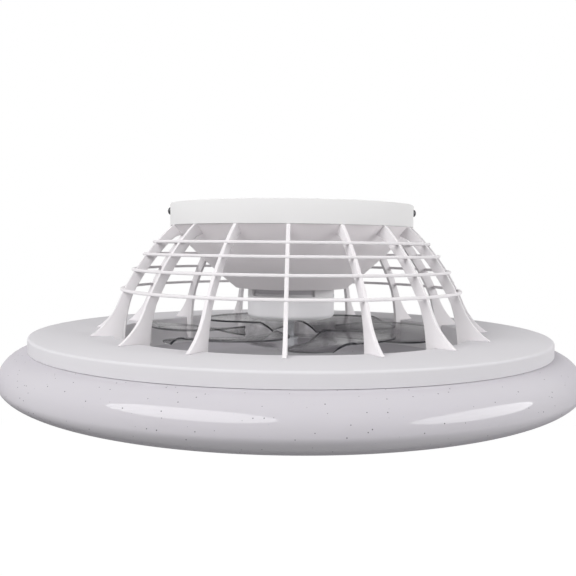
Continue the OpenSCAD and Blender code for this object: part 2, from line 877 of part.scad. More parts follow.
module impeller_nut() {
    seat = hub_top + boss_h;
    color(steel) {
        ring(boss_outer_r - 0.5, shaft_r + screw_slack, seat, seat + washer_t);
        translate([0, 0, -(seat + washer_t + nut_h)])
            difference() {
                cylinder(r = shaft_r * 1.85, h = nut_h, $fn = 6);
                translate([0, 0, -eps]) cylinder(r = shaft_r + screw_slack / 2, h = nut_h + 2 * eps);
            }
    }
}

module hub_cap() {
    dome_h = 9;
    lip_h = 4;
    outer = hub_r - 1;
    wall = 1.8;
    dome_r = (outer * outer + dome_h * dome_h) / (2 * dome_h);
    color([0.5, 0.5, 0.52, 0.6]) {
        translate([0, 0, -hub_floor])
            rotate_extrude()
                intersection() {
                    difference() {
                        translate([0, dome_r - dome_h]) circle(r = dome_r, $fn = 180);
                        translate([0, dome_r - dome_h + wall]) circle(r = dome_r, $fn = 180);
                    }
                    translate([0, -dome_h - 1]) square([outer, dome_h + 1]);
                }
        ring(hub_r - skirt_t - seat_gap, hub_r - skirt_t - wall, hub_floor - lip_h, hub_floor);
    }
}

// ---------- lamp ----------

plate_under = tray_drop + tray_t;
neck_r = tray_r - tray_t - neck_gap;
rib_h = 4;
rib_r = neck_r - 5;
flange_under = plate_under + rib_h;
board_in_r = duct_r + tray_t + 14;
board_out_r = board_in_r + board_w;
board_t = 1.6;
clip_t = 1;
clip_w = 9;
clip_boss_r = 3.4;
clip_screw_r = rib_r - 9;
shade_lip_r = duct_r + tray_t + 0.4;
shade_mid_r = (shade_r + shade_lip_r) / 2;

module tray_section() {
    inner_r = duct_r + tray_t;
    difference() {
        union() {
            translate([duct_r, -rim_bottom]) square([tray_r - duct_r, tray_rim_h - tray_edge_r]);
            translate([duct_r, -tray_drop - tray_edge_r]) square([tray_r - duct_r - tray_edge_r, tray_edge_r]);
            translate([tray_r - tray_edge_r, -tray_drop - tray_edge_r]) circle(r = tray_edge_r, $fn = 32);
            translate([duct_r, -duct_bottom]) square([tray_t, duct_h]);
        }
        translate([inner_r, -rim_bottom - eps])
            square([tray_r - tray_t - inner_r, tray_rim_h - tray_t + eps]);
    }
    translate([rib_r - 1, -flange_under]) square([2, rib_h + eps]);
}

module lamp_tray() {
    color(white_paint)
        difference() {
            union() {
                rotate_extrude($fn = 180) tray_section();
                around(clip_count, 15)
                    translate([clip_screw_r, 0, -flange_under])
                        cylinder(r = clip_boss_r, h = rib_h + eps, $fn = 32);
            }
            around(clip_count, 15)
                translate([clip_screw_r, 0, -flange_under - eps])
                    cylinder(r = m3[0] + screw_slack, h = rib_h + eps, $fn = 24);
            for (i = [0 : boss_every : fin_count - 1])
                rotate([0, 0, fin_turn - 90 + i * 360 / fin_count])
                    translate([duct_r - eps, 0, -(tray_drop + cage_screw_drop)])
                        rotate([0, 90, 0]) cylinder(r = m3[0] + seat_gap, h = tray_t + 2 * eps, $fn = 24);
        }
}

// The diffuser's skin: three elliptic quarters between its two lips, inset by a wall
function quarter(centre, radii, from, to, steps = 12) =
    [for (i = [0 : steps])
        let (a = from + (to - from) * i / steps)
        centre + [radii[0] * cos(a), radii[1] * sin(a)]];
function skin(inset) = concat(
    quarter([neck_r, -shade_wide],
        [shade_r - neck_r - inset, shade_wide_drop - inset], 90, 0),
    quarter([shade_mid_r, -shade_wide],
        [shade_r - shade_mid_r - inset, shade_bottom - shade_wide - inset], -8, -90),
    quarter([shade_mid_r, -shade_wide],
        [shade_mid_r - shade_lip_r - inset, shade_bottom - shade_wide - inset], -98, -180));

module shade() {
    outer = skin(0);
    inner = skin(shade_t);
    lip_top = duct_bottom - 9;
    flange_in = rib_r - 2;
    color([0.93, 0.94, 0.95])
        rotate_extrude($fn = 180)
            polygon(concat(
                [[flange_in, -flange_under], [neck_r, -flange_under]], outer,
                [[shade_lip_r, -lip_top], [shade_lip_r + shade_t, -lip_top]],
                [for (i = [len(inner) - 1 : -1 : 0]) inner[i]],
                [[neck_r - shade_t, -rim_bottom - shade_t], [neck_r - shade_t, -flange_under - 2],
                 [flange_in, -flange_under - 2]]));
}

module shade_clips() {
    foot_in = clip_screw_r - 5;
    step_r = rib_r - 3.2;
    finger_end = neck_r - shade_t - 1;
    low = 2 + clip_t;
    color(steel)
        around(clip_count, 15)
            difference() {
                translate([0, 0, -flange_under])
                    rotate([90, 0, 0])
                        linear_extrude(height = clip_w, center = true)
                            polygon([[foot_in, 0], [step_r, 0], [step_r, -2], [finger_end, -2],
                                [finger_end, -low], [step_r - clip_t, -low], [step_r - clip_t, -clip_t],
                                [foot_in, -clip_t]]);
                translate([clip_screw_r, 0, -flange_under - clip_t - eps])
                    cylinder(r = m3[0] + seat_gap, h = clip_t + 2 * eps, $fn = 24);
            }
}

module clip_screws() {
    color(steel)
        around(clip_count, 15)
            translate([clip_screw_r, 0, -flange_under - clip_t])
                mirror([0, 0, 1]) screw(m3, clip_t + rib_h - 1);
}

board_screw_count = 6;

module led_board() {
    color([0.9, 0.9, 0.88])
        difference() {
            ring(board_out_r, board_in_r, plate_under, plate_under + board_t);
            around(board_screw_count)
                translate([(board_in_r + board_out_r) / 2, 0, 0])
                    drill(m3[0] + seat_gap, plate_under - eps, plate_under + board_t + eps);
        }
}

module led_chips() {
    chip = 3.5;
    chip_h = 1;
    color([0.98, 0.92, 0.6])
        for (row = [0, 1])
            around(chip_count, row * 180 / chip_count + 2)
                translate([board_in_r + board_w * (0.25 + 0.5 * row) - chip / 2, -chip / 2,
                           -(plate_under + board_t + chip_h)])
                    cube([chip, chip, chip_h]);
}

module board_screws() {
    color(steel)
        around(board_screw_count)
            translate([(board_in_r + board_out_r) / 2, 0, -(plate_under + board_t)])
                mirror([0, 0, 1]) screw(m3, board_t);
}

mounting_bracket();
ground_screw();
canopy();
canopy_screws();
terminal_block();
driver_box();
driver_lid();
driver_screws();
wire_grommet();
cage_cone();
cone_screws();
cage_fins();
cage_hoops();
motor_collar();
motor_base();
motor_screws();
bearing_outer_races();
bearing_inner_races();
bearing_balls();
stator_core();
stator_coils();
rotor_bell();
magnet_ring();
motor_shaft();
retaining_ring();
motor_cover();
cover_screws();
impeller();
impeller_nut();
hub_cap();
lamp_tray();
cage_screws();
led_board();
led_chips();
board_screws();
shade();
shade_clips();
clip_screws();
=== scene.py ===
import math

import bpy
from mathutils import Matrix, Vector


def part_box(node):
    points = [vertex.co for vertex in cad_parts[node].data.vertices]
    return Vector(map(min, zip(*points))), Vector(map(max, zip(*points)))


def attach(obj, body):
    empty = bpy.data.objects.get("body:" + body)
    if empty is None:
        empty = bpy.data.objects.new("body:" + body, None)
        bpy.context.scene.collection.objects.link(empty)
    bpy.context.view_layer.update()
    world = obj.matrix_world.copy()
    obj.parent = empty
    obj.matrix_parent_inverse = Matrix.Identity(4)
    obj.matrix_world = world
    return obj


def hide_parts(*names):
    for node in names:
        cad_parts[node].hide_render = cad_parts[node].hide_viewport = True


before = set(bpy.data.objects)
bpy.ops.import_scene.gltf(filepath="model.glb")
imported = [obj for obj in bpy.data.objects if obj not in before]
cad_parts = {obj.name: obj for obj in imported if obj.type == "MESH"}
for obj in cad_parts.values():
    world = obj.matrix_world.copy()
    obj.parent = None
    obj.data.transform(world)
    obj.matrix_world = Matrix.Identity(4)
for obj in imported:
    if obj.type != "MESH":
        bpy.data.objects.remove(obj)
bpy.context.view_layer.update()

mm = 0.001
fullTurn = 2 * math.pi
mergeGap = 0.002 * mm


# work in edit mode

def deselectAll():
    if bpy.context.object and bpy.context.object.mode != "OBJECT":
        bpy.ops.object.mode_set(mode="OBJECT")
    bpy.ops.object.select_all(action="DESELECT")


def pick(piece):
    deselectAll()
    piece.select_set(True)
    bpy.context.view_layer.objects.active = piece


def drawLine(name, points):
    # a plane is merged into one point, which is pulled along the closed outline
    deselectAll()
    bpy.ops.mesh.primitive_plane_add(size=mm, location=(0, 0, 0))
    piece = bpy.context.object
    piece.name = piece.data.name = name
    bpy.ops.object.mode_set(mode="EDIT")
    bpy.ops.mesh.merge(type="CENTER")
    bpy.ops.transform.translate(value=points[0])
    for here, there in zip(points, points[1:] + points[:1]):
        bpy.ops.mesh.extrude_vertices_move(TRANSFORM_OT_translate={"value": there - here})
    bpy.ops.mesh.select_all(action="SELECT")
    bpy.ops.mesh.remove_doubles(threshold=mergeGap)
    return piece


def cleanShell():
    bpy.ops.mesh.select_all(action="SELECT")
    bpy.ops.mesh.remove_doubles(threshold=mergeGap)
    # a line that was spun on the axis is left without faces
    bpy.ops.mesh.delete_loose(use_verts=True, use_edges=True, use_faces=False)
    bpy.ops.mesh.select_all(action="SELECT")
    bpy.ops.mesh.normals_make_consistent(inside=False)
    bpy.ops.object.mode_set(mode="OBJECT")


def spinRing(name, points, steps):
    # a closed section, spun once round the fan's axis
    piece = drawLine(name, points)
    bpy.ops.mesh.spin(steps=steps, angle=fullTurn, center=(0, 0, 0), axis=(0, 0, 1))
    cleanShell()
    return piece


def spinArc(name, points, steps, angle):
    # a closed section with a face, spun anticlockwise over part of a turn and closed at both ends
    piece = drawLine(name, points)
    bpy.ops.mesh.edge_face_add()
    bpy.ops.mesh.spin(steps=steps, angle=-angle, center=(0, 0, 0), axis=(0, 0, 1))
    cleanShell()
    return piece


def extrudePlate(name, points, thickness):
    # an outline in the XZ plane, filled and given its thickness, half to each side
    piece = drawLine(name, [p - Vector((0, thickness / 2, 0)) for p in points])
    bpy.ops.mesh.edge_face_add()
    bpy.ops.mesh.extrude_region_move(TRANSFORM_OT_translate={"value": (0, thickness, 0)})
    cleanShell()
    return piece


def roundEdges(piece, width, segments=3, angle=35, finishIndex=-1):
    # with a finish of -1 the new faces look like their neighbours
    pick(piece)
    bevel = piece.modifiers.new("edges", "BEVEL")
    bevel.width = width
    bevel.segments = segments
    bevel.limit_method = "ANGLE"
    bevel.angle_limit = math.radians(angle)
    bevel.use_clamp_overlap = True
    bevel.material = finishIndex
    bpy.ops.object.modifier_apply(modifier="edges")


def smooth(piece, angle):
    pick(piece)
    bpy.ops.object.shade_smooth_by_angle(angle=math.radians(angle))


def turnRound(piece, angle):
    # turned about the fan's axis, and the turn kept in the mesh
    piece.data.transform(Matrix.Rotation(angle, 4, "Z"))
    piece.data.update()


def copyOf(piece, name):
    other = piece.copy()
    other.data = piece.data.copy()
    other.name = other.data.name = name
    bpy.context.scene.collection.objects.link(other)
    return other


def joinAll(pieces, name):
    deselectAll()
    for piece in pieces:
        piece.select_set(True)
    whole = pieces[0]
    bpy.context.view_layer.objects.active = whole
    bpy.ops.object.join()
    whole.name = whole.data.name = name
    return whole


def fit(piece, body, finish, node):
    # the piece gets its look and its body, and the node it stands for is hidden
    piece.data.materials.clear()
    piece.data.materials.append(finish)
    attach(piece, body)
    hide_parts(node)


# outlines

def at(r, z):
    return Vector((r, 0, z))


def arcCircle(start, end, sag):
    # centre and radius of a circle through both ends, its arc of height sag to the left of the way
    half = (end - start).length / 2
    radius = (half * half + sag * sag) / (2 * abs(sag))
    along = (end - start).normalized()
    side = Vector((-along.z, 0, along.x)) * math.copysign(1, sag)
    return (start + end) / 2 - side * (radius - abs(sag)), radius


def arcPoints(start, end, sag, steps):
    centre, radius = arcCircle(start, end, sag)
    along = (end - start).normalized()
    side = Vector((-along.z, 0, along.x)) * math.copysign(1, sag)
    spread = math.asin((end - start).length / 2 / radius)
    turns = [spread * (2 * i / steps - 1) for i in range(steps + 1)]
    return [centre + radius * (side * math.cos(t) + along * math.sin(t)) for t in turns]


def quarter(centre, wide, high, start, end, steps, power):
    # part of a rounded oval, from one angle to another in degrees; a power of 2 makes an ellipse
    points = []
    for i in range(steps + 1):
        a = math.radians(start + (end - start) * i / steps)
        c, s = math.cos(a), math.sin(a)
        points.append(centre + at(wide * math.copysign(abs(c) ** (2 / power), c),
                                  high * math.copysign(abs(s) ** (2 / power), s)))
    return points


def roundCorner(corner, before, after, radius, steps):
    # a fillet between the corner's two straight edges
    toBefore = (before - corner).normalized()
    toAfter = (after - corner).normalized()
    half = toBefore.angle(toAfter) / 2
    start = corner + toBefore * radius / math.tan(half)
    end = corner + toAfter * radius / math.tan(half)
    centre = corner + (toBefore + toAfter).normalized() * radius / math.sin(half)
    first, last = (start - centre).normalized(), (end - centre).normalized()
    return [centre + radius * first.slerp(last, i / steps) for i in range(steps + 1)]


def rounded(corners, radii, steps):
    # an outline with a fillet at each corner that has a radius
    points = []
    for i, (corner, radius) in enumerate(zip(corners, radii)):
        if radius:
            points += roundCorner(corner, corners[i - 1], corners[(i + 1) % len(corners)], radius, steps)
        else:
            points.append(corner)
    return points


# finishes

def shaderOf(finish):
    return finish.node_tree.nodes["Principled BSDF"]


def newFinish(name, colour, roughness, **sockets):
    # sockets are named as on the shader, with _ for a blank
    finish = bpy.data.materials.new(name)
    finish.use_nodes = True
    shader = shaderOf(finish)
    shader.inputs["Base Color"].default_value = (*colour, 1)
    shader.inputs["Roughness"].default_value = roughness
    for socket, value in sockets.items():
        shader.inputs[socket.replace("_", " ")].default_value = value
    return finish


def addNode(finish, kind, **settings):
    node = finish.node_tree.nodes.new(kind)
    for key, value in settings.items():
        if key in node.inputs:
            node.inputs[key].default_value = value
        else:
            setattr(node, key, value)
    return node


def wire(finish, source, target):
    finish.node_tree.links.new(source, target)


def objectPlace(finish, stretch=(1, 1, 1)):
    place = addNode(finish, "ShaderNodeTexCoord")
    mapping = addNode(finish, "ShaderNodeMapping", Scale=stretch)
    wire(finish, place.outputs["Object"], mapping.inputs["Vector"])
    return mapping.outputs["Vector"]


def remap(finish, source, *ends):
    # values from one span to another, held at its ends
    node = addNode(finish, "ShaderNodeMapRange", clamp=True)
    for socket, value in zip(("From Min", "From Max", "To Min", "To Max"), ends):
        node.inputs[socket].default_value = value
    wire(finish, source, node.inputs["Value"])
    return node.outputs["Result"]


def mottle(finish, colour, place, spread, scale):
    # the base colour drifts a little over the surface
    noise = addNode(finish, "ShaderNodeTexNoise", Scale=scale, Detail=4.0)
    wire(finish, place, noise.inputs["Vector"])
    ramp = addNode(finish, "ShaderNodeValToRGB")
    low, high = ramp.color_ramp.elements
    low.position, high.position = 0.3, 0.7
    low.color = (*[c * (1 - spread) for c in colour], 1)
    high.color = (*[min(1, c * (1 + spread)) for c in colour], 1)
    wire(finish, noise.outputs["Fac"], ramp.inputs["Fac"])
    wire(finish, ramp.outputs["Color"], shaderOf(finish).inputs["Base Color"])
    return ramp.outputs["Color"]


def varyGloss(finish, place, low, high, scale):
    # the roughness drifts between two values
    noise = addNode(finish, "ShaderNodeTexNoise", Scale=scale, Detail=3.0)
    wire(finish, place, noise.inputs["Vector"])
    gloss = remap(finish, noise.outputs["Fac"], 0, 1, low, high)
    wire(finish, gloss, shaderOf(finish).inputs["Roughness"])


def roughen(finish, place, depth, scale):
    # fine grain in the skin
    noise = addNode(finish, "ShaderNodeTexNoise", Scale=scale)
    wire(finish, place, noise.inputs["Vector"])
    bump = addNode(finish, "ShaderNodeBump", Strength=0.5, Distance=depth)
    wire(finish, noise.outputs["Fac"], bump.inputs["Height"])
    wire(finish, bump.outputs["Normal"], shaderOf(finish).inputs["Normal"])


def whitePaint(name, look):
    finish = newFinish(name, look["colour"], look["gloss"][0], IOR=1.5, Specular_IOR_Level=look["shine"])
    place = objectPlace(finish)
    mottle(finish, look["colour"], place, spread=0.012, scale=look["driftScale"])
    varyGloss(finish, place, *look["gloss"], scale=60)
    roughen(finish, place, depth=look["grainDepth"], scale=look["grainScale"])
    return finish


def brushedMetal(name, colour, roughness, stretch=(1, 1, 12)):
    finish = newFinish(name, colour, roughness, Metallic=1.0)
    place = objectPlace(finish, stretch)
    mottle(finish, colour, place, spread=0.08, scale=300)
    varyGloss(finish, place, low=roughness * 0.75, high=roughness * 1.35, scale=500)
    roughen(finish, place, depth=0.02 * mm, scale=900)
    return finish


def mouldedPlastic(name, colour, roughness, grainDepth=0.03 * mm):
    finish = newFinish(name, colour, roughness)
    place = objectPlace(finish)
    mottle(finish, colour, place, spread=0.02, scale=40)
    varyGloss(finish, place, low=roughness * 0.85, high=roughness * 1.15, scale=120)
    roughen(finish, place, depth=grainDepth, scale=1200)
    return finish


def opalAcrylic(name, look):
    # glossy opal plastic with sparse glitter specks just under its skin
    finish = newFinish(name, look["colour"], look["gloss"], IOR=1.4, Specular_IOR_Level=0.0, Coat_IOR=1.4,
                       Coat_Roughness=look["coatRoughness"], Subsurface_Weight=look["milk"],
                       Subsurface_Scale=look["milkDepth"], Subsurface_Radius=look["milkSpread"])
    place = objectPlace(finish)
    base = mottle(finish, look["colour"], place, spread=0.008, scale=9)
    specks = addNode(finish, "ShaderNodeTexVoronoi", Scale=look["speckScale"])
    wire(finish, place, specks.inputs["Vector"])
    inSpeck = remap(finish, specks.outputs["Distance"], look["speckSize"], look["speckCore"], 0, 1)
    tone = addNode(finish, "ShaderNodeValToRGB")
    tone.color_ramp.interpolation = "CONSTANT"
    dark, silver = tone.color_ramp.elements
    dark.position, silver.position = 0.0, look["darkShare"]
    dark.color = (*look["speckDark"], 1)
    silver.color = (*look["speckSilver"], 1)
    wire(finish, specks.outputs["Color"], tone.inputs["Fac"])
    mix = addNode(finish, "ShaderNodeMix", data_type="RGBA")
    wire(finish, inSpeck, mix.inputs["Factor"])
    wire(finish, base, mix.inputs[6])  # A and B of the colour mix
    wire(finish, tone.outputs["Color"], mix.inputs[7])
    wire(finish, mix.outputs[2], shaderOf(finish).inputs["Base Color"])
    # the coat fades where it is seen edge-on, or the white room would whiten the outline
    facing = addNode(finish, "ShaderNodeLayerWeight")
    coat = remap(finish, facing.outputs["Facing"], *look["coatFade"], look["coat"], 0)
    wire(finish, coat, shaderOf(finish).inputs["Coat Weight"])
    return finish


def smokeClear(name, look):
    # a thin clear sheet that covers more or less of what is behind it, in slow waves
    finish = newFinish(name, look["colour"], look["gloss"], IOR=1.45, Specular_IOR_Level=look["shine"])
    place = objectPlace(finish)
    mottle(finish, look["colour"], place, spread=0.03, scale=25)
    roughen(finish, place, depth=0.05 * mm, scale=60)
    waves = addNode(finish, "ShaderNodeTexNoise", Scale=look["waveScale"])
    wire(finish, place, waves.inputs["Vector"])
    cover = remap(finish, waves.outputs["Fac"], *waveSpan, *look["cover"])
    wire(finish, cover, shaderOf(finish).inputs["Alpha"])
    return finish


paintLook = {"colour": (0.77, 0.764, 0.765), "gloss": (0.38, 0.48), "shine": 0.12,
             "driftScale": 7, "grainScale": 420, "grainDepth": 0.03 * mm}
plasticLook = {"colour": (0.79, 0.766, 0.782), "gloss": (0.42, 0.52), "shine": 0.12,
               "driftScale": 12, "grainScale": 1500, "grainDepth": 0.02 * mm}
# painted shade: the tray gets the white paint made darker than the canopy's, which stands in for the shade
# on the tray's disc and rim
trayShadedLook = {**paintLook, "colour": (0.69, 0.677, 0.7), "gloss": (0.6, 0.7), "shine": 0.0}
opalLook = {"colour": (0.56, 0.54, 0.576), "gloss": 0.3, "coat": 0.9, "coatRoughness": 0.04,
            "coatFade": (0.5, 0.75), "milk": 0.15, "milkDepth": 4 * mm, "milkSpread": (1, 1, 0.9),
            "speckScale": 158, "speckSize": 0.1, "speckCore": 0.055, "darkShare": 0.7,
            "speckDark": (0.08, 0.08, 0.1), "speckSilver": (0.5, 0.5, 0.55)}
waveSpan = (0.42, 0.58)  # the noise values between which a clear sheet goes from its least cover to its most
smokeLook = {"colour": (0.05, 0.045, 0.055), "gloss": 0.12, "shine": 0.08, "cover": (0.28, 0.4),
             "waveScale": 14}
hubLook = {**smokeLook, "cover": (0, 0.13), "waveScale": 45}
# the blades' rims are near-black: partly the smoked plastic's own tint, partly painted shade for the
# darkness clear edges show by refraction
edgeTintAndShadeLook = {"colour": (0.02, 0.02, 0.025), "gloss": 0.1, "shine": 0.4, "cover": (0.6, 1),
            "waveScale": 16}
# painted highlight: a pale colour in patches on the blades' rounded edges stands in for glints of light
paintedGlintLook = {"colour": (0.9, 0.89, 0.91), "gloss": 0.15, "shine": 0.5, "cover": (0, 1),
             "waveScale": 22}

canopyPaint = whitePaint("canopy_paint", paintLook)
trayShadedPaint = whitePaint("tray_paint_with_painted_shade", trayShadedLook)
cagePlastic = whitePaint("cage_plastic", plasticLook)
# painted light: the cone's plastic is made lighter than the cage's, which stands in for light falling on the
# cone
coneLitPlastic = whitePaint("cone_plastic_with_painted_light", {**plasticLook, "colour": (0.95, 0.91, 0.925)})
coverPlastic = whitePaint("cover_plastic", {**plasticLook, "colour": (0.825, 0.815, 0.835)})
opal = opalAcrylic("opal_diffuser", opalLook)
smoke = smokeClear("smoke_clear", smokeLook)
hubSmoke = smokeClear("smoke_clear_hub", hubLook)
edgeTintAndShadeFinish = smokeClear("smoke_clear_edge_tint_and_painted_shade", edgeTintAndShadeLook)
paintedGlintFinish = smokeClear("smoke_clear_painted_glint", paintedGlintLook)
greyPlastic = mouldedPlastic("grey_collar", (0.77, 0.76, 0.77), 0.45)
zincSteel = brushedMetal("zinc_steel", (0.66, 0.67, 0.7), 0.3)
darkScrew = brushedMetal("dark_screw", (0.07, 0.07, 0.075), 0.3)
motorGrey = mouldedPlastic("motor_grey", (0.62, 0.605, 0.63), 0.5)
yellowBrass = brushedMetal("yellow_brass", (0.78, 0.6, 0.3), 0.28)
copperWire = brushedMetal("enamelled_copper", (0.66, 0.33, 0.16), 0.3, (1, 1, 60))
coreSteel = brushedMetal("stacked_core_steel", (0.4, 0.4, 0.42), 0.4, (1, 1, 80))
ferrite = mouldedPlastic("ferrite_magnet", (0.05, 0.05, 0.055), 0.5, 0.06 * mm)
ivoryPlastic = mouldedPlastic("ivory_plastic", (0.78, 0.77, 0.72), 0.42)
blackRubber = mouldedPlastic("black_rubber", (0.03, 0.03, 0.03), 0.65, 0.08 * mm)
boardLacquer = mouldedPlastic("board_lacquer", (0.85, 0.85, 0.83), 0.4)
lightChip = mouldedPlastic("light_chip", (0.85, 0.75, 0.35), 0.35)
print("finishes ready")


# canopy

canopyLow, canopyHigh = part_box("canopy")
canopyShape = {"radius": canopyHigh.x, "floor": canopyLow.z, "wall": 1.6 * mm, "wireHole": 12 * mm,
               "holeFillet": 0.2 * mm, "lowFillet": 0.7 * mm, "topFillet": 0.75 * mm,
               "topInnerFillet": 0.6 * mm, "floorFillet": 1.2 * mm, "steps": 240}


def makeCanopy(shape):
    r, z, t = shape["radius"], shape["floor"], shape["wall"]
    corners = [at(shape["wireHole"], z), at(r, z), at(r, 0), at(r - t, 0), at(r - t, z + t),
               at(shape["wireHole"], z + t)]
    radii = [shape["holeFillet"], shape["lowFillet"], shape["topFillet"], shape["topInnerFillet"],
             shape["floorFillet"], shape["holeFillet"]]
    section = rounded(corners, radii, 5)
    piece = spinRing("canopy_shell", section, shape["steps"])
    smooth(piece, 50)
    fit(piece, "housing", canopyPaint, "canopy")


sideScrewLow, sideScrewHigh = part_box("canopy_screws")
sideScrewShape = {"level": (sideScrewLow.z + sideScrewHigh.z) / 2, "radius": 4.2 * mm, "rise": 4.3 * mm,
                  "brim": 1 * mm, "domeCuts": (12, 36, 52, 68, 80, 90), "shank": 1.95 * mm,
                  "length": 9 * mm, "recess": 1.3 * mm, "recessRadius": 2.5 * mm,
                  "recessHub": 0.8 * mm, "recessSpread": 11, "steps": 32}


def makeSideScrews(shape):
    # domed cross-head screws: a profile spun upright, its cross pressed in, then laid into the canopy's side
    r, brim, rise = shape["radius"], shape["brim"], shape["rise"]
    tilts = [math.radians(a) for a in shape["domeCuts"]]
    dome = [at(r * math.sin(t), brim + (rise - brim) * math.cos(t)) for t in tilts]
    section = [at(0, rise), *dome, at(r, 0), at(shape["shank"], 0), at(shape["shank"], -shape["length"]),
               at(0, -shape["length"])]
    piece = spinRing("side_screw", section, shape["steps"])
    bpy.ops.object.mode_set(mode="OBJECT")
    for face in piece.data.polygons:
        middle = face.center
        reach = math.hypot(middle.x, middle.y)
        slant = math.degrees(math.atan2(middle.y, middle.x)) % 90
        inArm = min(slant, 90 - slant) < shape["recessSpread"]
        inCross = reach < shape["recessRadius"] and (inArm or reach < shape["recessHub"])
        face.select = middle.z > brim and inCross
    bpy.ops.object.mode_set(mode="EDIT")
    bpy.ops.mesh.select_mode(type="FACE")
    bpy.ops.mesh.extrude_region_move(TRANSFORM_OT_translate={"value": (0, 0, -shape["recess"])})
    bpy.ops.mesh.select_mode(type="VERT")
    cleanShell()
    smooth(piece, 30)
    place = Matrix.Translation((canopyHigh.x, 0, shape["level"]))
    piece.data.transform(place @ Matrix.Rotation(math.pi / 2, 4, "Y"))
    other = copyOf(piece, "side_screw_2")
    turnRound(other, math.pi)
    both = joinAll([piece, other], "side_screws")
    fit(both, "housing", darkScrew, "canopy_screws")


makeCanopy(canopyShape)
makeSideScrews(sideScrewShape)
print("canopy made")


# cone

coneShape = {"top": canopyLow.z, "floor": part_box("cage_cone")[0].z, "topRadius": canopyHigh.x - 1 * mm,
             "floorRadius": 60 * mm, "floorEdge": (1.5 * mm, 1.2 * mm), "bulge": 1.9 * mm,
             "wall": 2.4 * mm, "wallWay": (-0.5, 0.86), "shaftHole": 15 * mm, "flange": 22 * mm,
             "flangeThick": 2.5 * mm, "flangeEdge": 3 * mm, "floorCorner": 1.4 * mm, "steps": 240}


def makeCone(shape):
    top, floor, t = shape["top"], shape["floor"], shape["wall"]
    edgeOut, edgeUp = shape["floorEdge"]
    side = arcPoints(at(shape["topRadius"], top), at(shape["floorRadius"] + edgeOut, floor + edgeUp),
                     shape["bulge"], 24)
    # the inner side is the outer one moved in by the wall, across the cone's slant
    wayOut, wayUp = shape["wallWay"]
    across = at(wayOut * t, wayUp * t)
    inner = [p + across for p in side if p.z < top - shape["flangeEdge"]]
    inner = [p for p in inner if p.z > floor + t]
    flangeIn = shape["topRadius"] - shape["flange"]
    section = [at(flangeIn, top), *side, at(shape["floorRadius"], floor), at(shape["shaftHole"], floor),
               at(shape["shaftHole"], floor + t), at(shape["floorRadius"] - shape["floorCorner"], floor + t),
               *reversed(inner), at(flangeIn, top - shape["flangeThick"])]
    piece = spinRing("cage_cone_shell", section, shape["steps"])
    smooth(piece, 30)
    fit(piece, "housing", coneLitPlastic, "cage_cone")


makeCone(coneShape)
print("cone made")


# cage

trayLow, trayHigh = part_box("lamp_tray")
trayTop = trayHigh.z
ductRadius = 191 * mm
finShape = {"count": 16, "firstTurn": math.radians(-91.33), "thickness": 3.6 * mm, "width": 10 * mm,
            "overCanopy": 0.4 * mm, "overDuct": 4 * mm, "bulge": 5.2 * mm, "flare": 31 * mm,
            "flareSag": 3 * mm, "reach": 22 * mm, "tipHeight": 0.8 * mm, "seatGap": 0.02 * mm,
            "leg": 26 * mm, "legWidth": 9.3 * mm, "legGap": 0.3 * mm, "legTip": (4 * mm, 5 * mm),
            "webTop": 17 * mm, "webLow": 5 * mm, "footDrop": 5 * mm, "footSag": 1.6 * mm, "rootIn": 12 * mm,
            "rootDrop": 9 * mm, "rootSag": 2 * mm, "softEdge": 0.7 * mm}
hoopShape = {"count": 4, "first": 17.1 * mm, "gap": 12.8 * mm, "growth": 1.26, "height": 3 * mm,
             "width": 4 * mm, "proud": 1.2 * mm, "innerFillet": 0.5 * mm, "outerFillet": 0.9 * mm,
             "steps": 240}


def finEdge(shape):
    # ends, centre and radius of the fins' outer curve, from the canopy to the flare
    start = at(canopyHigh.x + shape["overCanopy"], canopyLow.z)
    end = at(ductRadius - shape["overDuct"], trayTop + shape["flare"])
    return start, end, *arcCircle(start, end, shape["bulge"])


def edgeAt(centre, radius, z, inset=0.0):
    # how far out the fins' outer curve, or one set in from it, is at a level
    return centre.x + math.sqrt((radius - inset) ** 2 - (z - centre.z) ** 2)


def makeFins(shape):
    start, end, centre, radius = finEdge(shape)
    tip = at(ductRadius + shape["reach"], trayTop + shape["tipHeight"])
    legOut = ductRadius - shape["legGap"]
    legIn = legOut - shape["legWidth"]
    legLow = trayTop - shape["leg"]
    tipIn, tipUp = shape["legTip"]
    webTop = canopyLow.z - shape["webTop"]
    webLow = trayTop + shape["flare"] + shape["webLow"]
    webLevels = [webLow + (webTop - webLow) * i / 12 for i in range(13)]
    web = [at(edgeAt(centre, radius, z, shape["width"]), z) for z in webLevels]
    footIn = at(legIn, trayTop - shape["footDrop"])
    rootIn = at(coneShape["topRadius"] - shape["rootIn"], canopyLow.z - shape["rootDrop"])
    outline = [*arcPoints(start, end, shape["bulge"], 18),
               *arcPoints(end, tip, -shape["flareSag"], 12)[1:],
               at(tip.x, trayTop + shape["seatGap"]), at(legOut, trayTop),
               at(legOut, legLow + tipUp), at(legOut - tipIn, legLow), at(legIn, legLow),
               *arcPoints(footIn, web[0], -shape["footSag"], 5), *web[1:],
               *arcPoints(web[-1], rootIn, -shape["rootSag"], 5)[1:], at(rootIn.x, canopyLow.z)]
    first = extrudePlate("fin", outline, shape["thickness"])
    roundEdges(first, shape["softEdge"], 3, 60)
    smooth(first, 40)
    fins = [first]
    for i in range(1, shape["count"]):
        fins.append(copyOf(first, f"fin_{i}"))
    for i, piece in enumerate(fins):
        turnRound(piece, shape["firstTurn"] + i * fullTurn / shape["count"])
    whole = joinAll(fins, "cage_fin_set")
    fit(whole, "housing", cagePlastic, "cage_fins")


